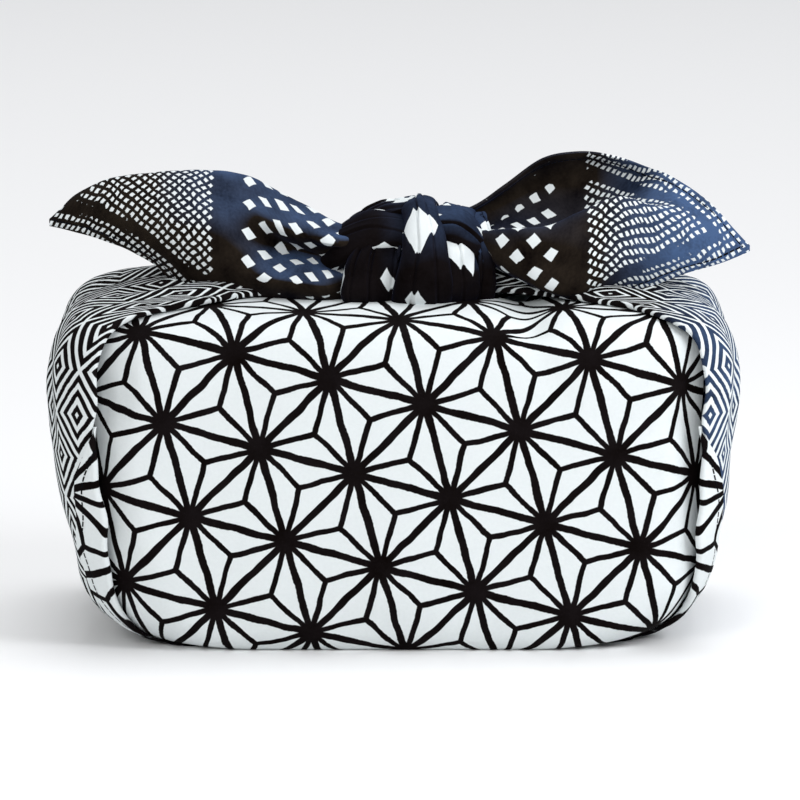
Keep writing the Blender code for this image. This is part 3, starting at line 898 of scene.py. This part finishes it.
LEFT_CUTS = (
    (6.0, (-11, 122), (-14, 127), (-12, 132), (-11, 137), (-4, 140), (2, 135), (2, 129)),
    (19.0, (-17, 117), (-23, 123), (-12, 131), (-19, 137.5), (-7, 142), (2, 136), (2, 127)),
    (33.0, (-19, 115), (-27, 125), (-10, 133), (-19.5, 141), (-2, 149), (5, 139), (4, 124)),
    (44.0, (-18, 114.5), (-26, 126), (-14, 136), (-16.5, 145.5), (-1, 155.5), (6, 141), (5, 122.5)),
    (55.0, (-16, 115), (-24, 128), (-21, 141), (-11, 152), (0, 159.5), (6, 143), (5, 122.5)),
    (69.0, (-14, 117), (-20, 129), (-20, 142), (-12, 153.5), (-1, 161), (5, 145), (5, 125.5)),
    (86.0, (-12, 129.5), (-16, 137), (-16, 146), (-10, 155), (-2, 160), (2.5, 149), (3, 135)),
    (100.0, (-9, 136), (-12, 142), (-12, 148), (-8, 154), (-3, 157.5), (0, 150), (0.5, 140.5)),
    (112.0, (-7, 139.5), (-9, 143), (-9, 146), (-7, 149.5), (-4.5, 151.5), (-3, 148), (-2.5, 143.5)),
    (121.0, (-6, 141.5), (-6.8, 142.2), (-7, 143), (-6.5, 143.8), (-5.5, 144), (-5, 143.5), (-4.8, 142.8)),
)
RIGHT_CUTS = (
    (14.0, (-6, 127), (-11, 131), (-9, 138), (-4, 135), (2, 134), (6, 139), (4, 144)),
    (28.0, (-8, 131), (-15, 134), (-15, 141), (-7, 138), (3, 137), (8, 142), (5, 147)),
    (40.0, (-9, 128), (-23, 129), (-21, 140), (-9, 140), (4, 140), (12, 147), (8, 154)),
    (53.0, (-8, 121), (-29, 122), (-24, 142), (-9, 138), (6, 142), (15, 153), (10, 163.5)),
    (65.0, (-12, 115.5), (-29, 122), (-20, 147.5), (-4.5, 138), (8, 143), (16, 156), (10, 165.5)),
    (80.0, (-18, 118.5), (-25, 132), (-15.5, 153), (-3, 144.5), (7, 147), (13, 156), (9, 163)),
    (96.0, (-13, 123.5), (-18, 134), (-14, 146.5), (-6.5, 149.5), (-1, 152), (2.5, 155), (5, 158.5)),
    (109.0, (-9, 127.5), (-11.5, 132.5), (-10.5, 138.5), (-8, 143), (-5.5, 146), (-3.5, 148.5), (-2, 151)),
    (118.0, (-6, 130), (-7.2, 132), (-7.4, 134.2), (-7, 136.3), (-6.2, 138.2), (-5.3, 140), (-4.4, 141.6)),
    (125.5, (-5, 132.2), (-5.2, 132.5), (-5.3, 132.9), (-5.3, 133.3), (-5.2, 133.7), (-5.1, 134.1),
     (-5, 134.5)),
)


class Wire:
    """A number or colour on its way through a material, with the usual arithmetic."""

    def __init__(self, desk: "Desk", socket: bpy.types.NodeSocket) -> None:
        """Wraps a socket of a node tree."""
        self.desk = desk
        self.socket = socket

    def _math(self, operation: str, *values: object, clamp: bool = False) -> "Wire":
        """One Math node on this wire and other values."""
        settings = {"operation": operation, "use_clamp": clamp}
        return self.desk.node("ShaderNodeMath", settings, dict(enumerate((self, *values))))

    def __add__(self, other: object) -> "Wire":
        """Sum."""
        return self._math("ADD", other)

    def __sub__(self, other: object) -> "Wire":
        """Difference."""
        return self._math("SUBTRACT", other)

    def __rsub__(self, other: object) -> "Wire":
        """Difference from a plain number."""
        return (self * -1.0)._math("ADD", other)

    def __mul__(self, other: object) -> "Wire":
        """Product."""
        return self._math("MULTIPLY", other)

    def __truediv__(self, other: object) -> "Wire":
        """Quotient."""
        return self._math("DIVIDE", other)

    __radd__ = __add__
    __rmul__ = __mul__

    def part(self) -> "Wire":
        """What is left over past the whole number below."""
        return self._math("FRACT")

    def size(self) -> "Wire":
        """The number without its sign."""
        return self._math("ABSOLUTE")

    def sine(self) -> "Wire":
        """The sine."""
        return self._math("SINE")

    def least(self, other: object) -> "Wire":
        """The smaller of two."""
        return self._math("MINIMUM", other)

    def most(self, other: object) -> "Wire":
        """The larger of two."""
        return self._math("MAXIMUM", other)

    def kept(self) -> "Wire":
        """The number, kept between 0 and 1."""
        return self.most(0.0).least(1.0)

    def over(self, other: object) -> "Wire":
        """1 where this is larger, else 0."""
        return self._math("GREATER_THAN", other)

    def soft_under(self, edge: object, blur: float) -> "Wire":
        """1 below the edge and 0 above it, with a soft step."""
        return ((edge - self) / blur)._math("ADD", 0.5, clamp=True)


class Desk:
    """Where one material's nodes are laid out."""

    def __init__(self, name: str) -> None:
        """Starts a material with a lone Principled shader."""
        self.material = bpy.data.materials.new(name)
        self.material.use_nodes = True
        self.tree = self.material.node_tree
        self.shader = self.tree.nodes["Principled BSDF"]

    def node(self, kind: str, settings: dict, values: dict, output: object = 0) -> Wire:
        """Adds one node.

        Args:
            kind: the node's type.
            settings: its properties, set first.
            values: its sockets' values or wires, by name or number.
            output: the wanted output's name or number.

        Returns:
            A wire from that output.
        """
        made = self.tree.nodes.new(kind)
        for key, value in settings.items():
            setattr(made, key, value)
        for key, value in values.items():
            self.feed(made.inputs[key], value)
        return Wire(self, made.outputs[output])

    def feed(self, socket: bpy.types.NodeSocket, value: object) -> None:
        """Links a wire to a socket, or sets its plain value."""
        if isinstance(value, Wire):
            self.tree.links.new(value.socket, socket)
        else:
            socket.default_value = value

    def mix(self, share: Wire, first: object, second: object) -> Wire:
        """A colour between two, by a share."""
        values = {0: share, 6: first, 7: second}
        return self.node("ShaderNodeMix", {"data_type": "RGBA"}, values, 2)

    def finish(self, values: dict) -> bpy.types.Material:
        """Feeds the shader and gives the material back."""
        for key, value in values.items():
            self.feed(self.shader.inputs[key], value)
        return self.material


@dataclass(frozen=True)
class PrintedCotton:
    """Plain-woven cotton with a near-black print on a white ground. Lengths are in millimetres."""

    ground: tuple[float, float, float, float] = (0.74, 0.78, 0.785, 1.0)
    ground_shade: tuple[float, float, float, float] = (0.68, 0.72, 0.725, 1.0)
    ink: tuple[float, float, float, float] = (0.0024, 0.0012, 0.0009, 1.0)
    ink_worn: tuple[float, float, float, float] = (0.0075, 0.0055, 0.006, 1.0)
    ink_dry: tuple[float, float, float, float] = (0.022, 0.016, 0.011, 1.0)
    # painted highlight: the lit navy that the ink shows where strong light falls on it
    ink_painted_highlight: tuple[float, float, float, float] = (0.055, 0.098, 0.2, 1.0)
    thread: tuple[float, float, float, float] = (0.004, 0.004, 0.005, 1.0)
    glow: tuple[float, float, float, float] = (0.28, 0.42, 1.0, 1.0)
    thread_pitch: float = 0.62
    edge_blur: float = 0.18
    leaf_side: float = 34.0
    leaf_line: float = 2.6
    leaf_vein: float = 2.0
    nest_long: float = 30.0
    nest_wide: float = 21.0
    nest_rings: float = 3.0
    grain_pitch: float = 3.6
    grain_half: tuple[float, float] = (0.9, 0.99)
    spot_pitch: float = 11.0
    spot_half: float = 2.5
    knot_cell: tuple[float, float] = (36.0, 46.0)
    knot_half: tuple[float, float] = (6.2, 9.0)
    fleck_half: tuple[float, float] = (2.1, 3.7)
    size_change: float = 64.0
    plain_band: float = 5.0
    frame_in: tuple[float, float] = (8.5, 12.0)
    stitch_in: float = 3.1
    stitch_pitch: float = 2.3
    stitch_half: float = 0.3
    stitch_share: float = 0.8
    stitch_high: float = 0.16
    pucker_deep: float = 0.22
    weave_high: float = 0.035
    waver: float = 0.35
    stray: float = 1.6
    corner_stray: float = 2.6
    # painted highlight on the ink, for each print: where it starts along x, how far it ramps and its most
    painted_highlight_ramps: tuple[tuple[Print, tuple[float, float, float]], ...] = (
        (Print.BORDER, (90.0, 26.0, 0.6)),
        (Print.CORNER, (72.0, 34.0, 1.0)),
        (Print.KNOT, (-6.0, 30.0, 0.38)),
    )

    def cloth_place(self, desk: Desk) -> tuple[Wire, Wire]:
        """The place on the flat cloth, as two wires in millimetres."""
        uv = desk.node("ShaderNodeUVMap", {"uv_map": CLOTH_UV}, {})
        split = desk.node("ShaderNodeSeparateXYZ", {}, {0: uv})
        other = Wire(desk, split.socket.node.outputs[1])
        return split / MM, other / MM

    def hemp_leaf(self, u: Wire, v: Wire) -> Wire:
        """Ink of the hemp-leaf lattice: triangles, each with three veins from its middle to its corners."""
        tall = self.leaf_side * sqrt(3) / 2
        parts = []
        for turn in (90, 210, 330):
            angle = radians(turn + 45)
            level = u * (cos(angle) / tall) + v * (sin(angle) / tall)
            parts.append((level + 0.37 * cos(angle)).part())
        total = parts[0] + parts[1] + parts[2]
        flip = total.over(1.5)
        shares = [part + flip * (1 - 2 * part) for part in parts]
        low = shares[0].least(shares[1]).least(shares[2])
        high = shares[0].most(shares[1]).most(shares[2])
        middle = 1 - (low + high)
        line = (low * tall).soft_under(self.leaf_line / 2, self.edge_blur)
        vein = ((middle - low) * (tall / sqrt(3))).soft_under(self.leaf_vein / 2, self.edge_blur)
        return line.most(vein)

    def nested_diamonds(self, u: Wire, v: Wire) -> Wire:
        """Ink of diamonds one inside the other."""
        bolder = ((u - 185.0) / 40.0).kept() * 0.09
        level = self.diamond(u, v, self.nest_long, self.nest_wide)
        inner = level.least(2 - level)
        wave = (inner * self.nest_rings).part()
        pitch = self.nest_wide / 2 / self.nest_rings
        return ((wave - 0.5).size() * pitch).soft_under((bolder + 0.26) * pitch, self.edge_blur)

    def diamond(self, u: Wire, v: Wire, long: float, wide: float) -> Wire:
        """How far from the middle of its cell a place is, 0 in the middle and 1 on the diamond's edge."""
        first = ((u / long + 0.5).part() - 0.5).size()
        second = ((v / wide + 0.5).part() - 0.5).size()
        return (first + second) * 2.0

    def spots(self, u: Wire, v: Wire, pitch: float, half: Wire, first: float, last: float) -> Wire:
        """White diamonds in a staggered grid.

        Args:
            u: place across the cloth.
            v: place along the cloth.
            pitch: the grid's pitch.
            half: half the width of a diamond.
            first: where along the cloth the first whole diamonds lie.
            last: where the last ones lie.

        Returns:
            1 on the diamonds and 0 off them.
        """
        white = []
        for shift in (0.0, pitch / 2):
            over = ((u + shift) / pitch).part() - 0.5
            along = ((v + shift) / pitch).part() - 0.5
            centre = v - along * pitch
            off = centre.over(last) + (-1.0 * centre).over(-first)
            far = (over.size() + along.size()) * pitch + off * pitch
            white.append(far.soft_under(half, self.edge_blur * 1.4))
        return white[0].most(white[1])

    def corner_print(self, u: Wire, v: Wire, hem: Wire, slub: Wire) -> Wire:
        """Ink of the corners: small diamonds, larger ones nearer the knot, and a plain line along the hem."""
        inner, outer = self.frame_in
        beside = (hem - (inner + outer) / 2).size() - (outer - inner) / 2
        shrink = (beside / 1.1).least(1.0)
        edge = self.size_change
        small, grown = self.grain_half
        grain = (v * ((grown - small) / edge)).least(grown - small) + small
        inside = ((hem - 4.5) / 1.5).kept()
        grain = grain * (0.45 + slub * 1.1)
        fine = self.spots(u, v, self.grain_pitch, shrink * grain, -9.0, edge - self.plain_band)
        half = shrink * inside * self.spot_half
        bold = self.spots(u, v, self.spot_pitch, half, edge + self.plain_band, 999.0)
        return 1 - fine.most(bold)

    def knot_print(self, u: Wire, v: Wire) -> Wire:
        """Ink round large diamonds, one of them at the piece's own zero, with small ones between them."""
        wide, long = self.knot_cell
        bare = 0.0
        for half, other in ((self.knot_half, 0.0), (self.fleck_half, 0.5)):
            for shift in (0.5, 0.0):
                over = ((u / wide + shift).part() - 0.5).size() * wide
                along = ((v / long + (shift + other)).part() - 0.5).size() * long
                far = over + along * (half[0] / half[1])
                bare = far.soft_under(half[0], self.edge_blur).most(bare)
        return 1 - bare

    def painted_highlight_share(self, desk: Desk, kind: Print, blot: Wire, slub: Wire) -> Wire:
        """How far the ink is painted lit navy, a painted highlight: towards the right, and on faces that look
        up in the ears and the knot.
        """
        place = desk.node("ShaderNodeTexCoord", {}, {}, "Object")
        right = desk.node("ShaderNodeSeparateXYZ", {}, {0: place}) / MM
        facing = desk.node("ShaderNodeNewGeometry", {}, {}, "Normal")
        split = desk.node("ShaderNodeSeparateXYZ", {}, {0: facing})
        up = Wire(desk, split.socket.node.outputs[2])
        start, reach, most = dict(self.painted_highlight_ramps)[kind]
        share = ((right - start) / reach).kept() * most
        if kind is Print.CORNER:
            off_tip = ((right + 84.0) / 24.0).kept()
            left = ((-6.0 - right) / 16.0).most(0.0).least(0.5) + 0.12
            share = share.most((up * 1.4 - 0.45).kept() * off_tip * left)
        if kind is Print.KNOT:
            share = (up * 1.4 - 0.3).kept() * share
        return (share * (blot * 2.2 + slub * 0.8 - 0.5)).kept()

    def ink_mask(self, kind: Print, u: Wire, v: Wire, hem: Wire, slub: Wire) -> Wire:
        """Where the cloth is inked, 1, and where it is bare, 0."""
        if kind is Print.FIELD:
            return self.hemp_leaf(u, v)
        if kind is Print.BORDER:
            return self.nested_diamonds(u, v)
        if kind is Print.KNOT:
            return self.knot_print(u, v)
        return self.corner_print(u, v, hem, slub)

    def material(self, kind: Print) -> bpy.types.Material:
        """The finish of the pieces that carry one print.

        Args:
            kind: the print.

        Returns:
            The material.
        """
        desk = Desk(f"cotton_{kind.name.lower()}")
        u, v = self.cloth_place(desk)
        hem = desk.node("ShaderNodeAttribute", {"attribute_name": HEM_FIELD}, {}, "Fac")
        place = desk.node("ShaderNodeCombineXYZ", {}, {0: u, 1: v})
        blot = desk.node("ShaderNodeTexNoise", {}, {"Vector": place, "Scale": 0.09, "Detail": 3.0})
        slub = desk.node("ShaderNodeTexNoise", {}, {"Vector": place, "Scale": 0.9, "Detail": 2.0})
        drift = desk.node("ShaderNodeTexNoise", {}, {"Vector": place, "Scale": 0.11, "Detail": 1.0}, "Color")
        sides = desk.node("ShaderNodeSeparateXYZ", {}, {0: drift})
        other = Wire(desk, sides.socket.node.outputs[1])
        waver = (slub - 0.5) * self.waver
        stray = self.corner_stray if kind is Print.CORNER else self.stray
        over = u + waver + (sides - 0.5) * stray
        along = v + waver + (other - 0.5) * stray
        ink = self.ink_mask(kind, over, along, hem, slub)
        dash = (v / self.stitch_pitch).part()
        line = (hem - self.stitch_in).size().soft_under(self.stitch_half, 0.15)
        stitch = line * dash.soft_under(self.stitch_share, 0.12)
        bare = desk.mix(slub, self.ground, self.ground_shade)
        dry = self.ink_dry if kind is Print.CORNER else self.ink_worn
        inked = desk.mix((blot * 2.0 + slub * 0.6 - 0.8).kept(), self.ink, dry)
        if kind is not Print.FIELD:
            # painted highlight: lit navy mixed into the ink at the right and on faces that look up
            inked = desk.mix(self.painted_highlight_share(desk, kind, blot, slub), inked, self.ink_painted_highlight)
        colour = desk.mix(stitch, desk.mix(ink, bare, inked), self.thread)
        turn = 2 * pi / self.thread_pitch
        weave = (u * turn).sine() * (v * turn).sine() * 0.5 + slub * 0.8
        pucker = (hem - self.stitch_in).size().soft_under(0.7, 0.9)
        height = weave * self.weave_high + stitch * self.stitch_high
        height = height - pucker * (1 - stitch) * self.pucker_deep
        bump = desk.node("ShaderNodeBump", {}, {"Strength": 1.0, "Distance": MM, "Height": height})
        return desk.finish({
            "Base Color": colour,
            "Roughness": 0.92 - ink * 0.1,
            "Sheen Weight": 0.05 if kind in (Print.CORNER, Print.KNOT) else 0.0,
            "Sheen Roughness": 0.4,
            "Sheen Tint": self.glow,
            "Specular IOR Level": 0.03,
            "Normal": bump,
        })


@dataclass
class Studio:
    """The pale floor, the soft lights and the camera."""

    focus: tuple[float, float, float] = (0.0023, 0.0, 0.0783)
    elevation: float = 10.0
    distance: float = 2.2
    frame_width: float = 0.2836
    floor_reach: float = 4.0
    floor_colour: tuple[float, float, float, float] = (0.93, 0.93, 0.93, 1.0)
    lamps: tuple[tuple, ...] = (
        ("front_light", (-1.6, -3.4, 2.4), 2.0, 52.0, (1.0, 0.995, 0.98)),
        ("right_light", (0.58, -0.42, 0.52), 0.34, 3.7, (0.95, 0.97, 1.0)),
        ("top_light", (0.2, 0.9, 3.8), 2.4, 77.0, (0.97, 0.98, 1.0)),
    )
    room_colour: tuple[float, float, float, float] = (0.97, 0.98, 1.0, 1.0)
    room_strength: float = 0.42

    def floor(self) -> None:
        """A plain pale floor."""
        bpy.ops.object.select_all(action="DESELECT")
        bpy.ops.mesh.primitive_plane_add(size=2 * self.floor_reach, location=(0, 0, 0))
        floor = bpy.context.object
        floor.name = "studio_floor"
        desk = Desk("studio_paper")
        floor.data.materials.append(desk.finish({"Base Color": self.floor_colour, "Roughness": 0.9}))

    def area(self, name: str, place: tuple, size: float, power: float, colour: tuple) -> None:
        """One soft square light that faces the bundle."""
        light = bpy.data.lights.new(name, "AREA")
        light.shape = "SQUARE"
        light.size = size
        light.energy = power
        light.color = colour
        lamp = bpy.data.objects.new(name, light)
        lamp.location = place
        lamp.rotation_euler = (Vector(self.focus) - Vector(place)).to_track_quat("-Z", "Y").to_euler()
        bpy.context.collection.objects.link(lamp)

    def lights(self) -> None:
        """Soft light from the front left and above, a small cool one at the right and a bright room."""
        for lamp in self.lamps:
            self.area(*lamp)
        world = bpy.data.worlds.new("room")
        world.use_nodes = True
        background = world.node_tree.nodes["Background"]
        background.inputs["Color"].default_value = self.room_colour
        background.inputs["Strength"].default_value = self.room_strength
        bpy.context.scene.world = world
        bpy.context.scene.view_settings.view_transform = "Standard"

    def camera(self) -> None:
        """A long lens, level with the bundle's front and a little above it."""
        tilt = radians(self.elevation)
        back = Vector((0.0, -cos(tilt), sin(tilt))) * self.distance
        data = bpy.data.cameras.new("camera")
        data.sensor_width = 36.0
        data.lens = data.sensor_width * self.distance / self.frame_width
        data.clip_start = 0.05
        eye = bpy.data.objects.new("camera", data)
        eye.location = Vector(self.focus) + back
        eye.rotation_euler = (-back).to_track_quat("-Z", "Y").to_euler()
        bpy.context.collection.objects.link(eye)
        bpy.context.scene.camera = eye

    def build(self) -> None:
        """Sets the studio up."""
        self.floor()
        self.lights()
        self.camera()


def main() -> None:
    """Builds the wrap's sheets in order, prints them and sets up the studio."""
    logging.basicConfig(level=logging.INFO, format="%(message)s")
    Studio().build()
    parts = [
        Bundle(),
        Knot(),
        Ear("left_ear", Side.LEFT, LEFT_CUTS, (0.082, 0.112), 51),
        Ear("right_ear", Side.RIGHT, RIGHT_CUTS, (0.08, 0.112), 61),
    ]
    cotton = PrintedCotton()
    finishes = {kind: cotton.material(kind) for kind in Print}
    for part in parts:
        for piece, kind in part.build():
            piece.data.materials.append(finishes[kind])
            logging.info("%s carries the %s", piece.name, kind.value)


if __name__ == "__main__":
    main()
